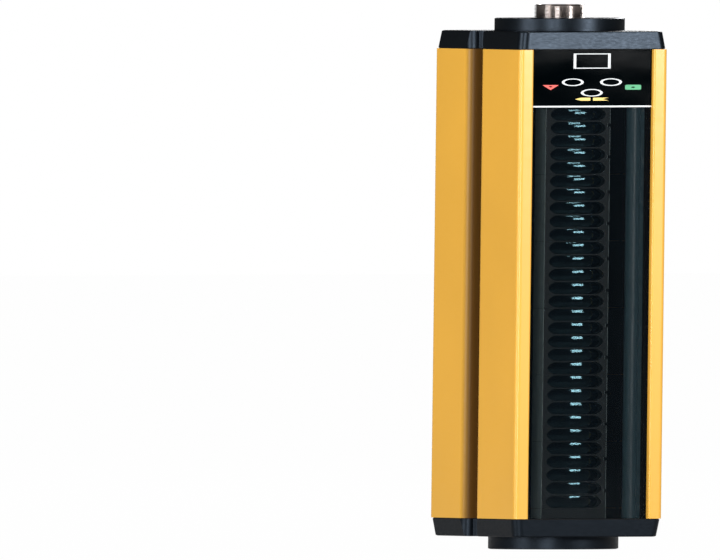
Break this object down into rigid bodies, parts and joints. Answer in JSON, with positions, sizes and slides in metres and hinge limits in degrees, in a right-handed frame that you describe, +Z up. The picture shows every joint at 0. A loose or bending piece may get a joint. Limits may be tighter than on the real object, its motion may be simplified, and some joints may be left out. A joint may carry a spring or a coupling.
{
  "type": "safety light curtain",
  "caption": "Upright optical safety sensor bar: extruded housing with a dark front window over a row of lenses, side nut slot, round-bossed end caps and a plug connector on top.",
  "frame": {"origin": "centre of the footprint of the housing and caps, at the underside of the bottom boss on which the unit stands upright", "axes": "+Z up along the housing to the connector, -Y out of the optical window, -X out of the side slot"},
  "size_m": [0.038, 0.049, 0.4078],
  "materials": {
    "yellow_paint": "satin powder coat",
    "dark_plastic": "fine moulded texture",
    "tinted_window": "dark tinted, polished",
    "seal_rubber": "matt",
    "black_film": "gloss",
    "white_print": "printed",
    "red_print": "printed",
    "green_print": "printed",
    "yellow_print": "printed",
    "optic_black": "matt",
    "lens_acrylic": "polished",
    "board_green": "solder mask",
    "component_black": "moulded",
    "led_white": "moulded",
    "clear_guide": "polished",
    "foam_gasket": "closed-cell foam",
    "nickel": "nickel-plated, polished",
    "insert_black": "moulded",
    "gold_contact": "gold-plated",
    "screw_steel": "zinc-plated"
  },
  "bodies": {
    "root": {"board_link": "component_black", "bottom_end_cap": "dark_plastic", "cap_gaskets": "foam_gasket", "cap_screws": "screw_steel", "connector_insert": "insert_black", "connector_pins": "gold_contact", "connector_ring_nut": "nickel", "connector_seal": "seal_rubber", "connector_shell": "nickel", "control_board": "board_green", "control_components": "component_black", "display_block": "component_black", "emitter_leds": "led_white", "front_window": "tinted_window", "housing_profile": "yellow_paint", "indicator_board": "board_green", "indicator_carrier": "optic_black", "indicator_film": "black_film", "indicator_print_green": "green_print", "indicator_print_red": "red_print", "indicator_print_white": "white_print", "indicator_print_yellow": "yellow_print", "lenses": "lens_acrylic", "light_guides": "clear_guide", "optic_module_1": "optic_black", "optic_module_2": "optic_black", "optic_module_3": "optic_black", "optic_module_4": "optic_black", "optic_module_5": "optic_black", "optic_module_6": "optic_black", "optics_board": "board_green", "status_leds": "led_white", "top_end_cap": "dark_plastic", "window_seal_left": "seal_rubber", "window_seal_right": "seal_rubber"}
  },
  "joints": []
}
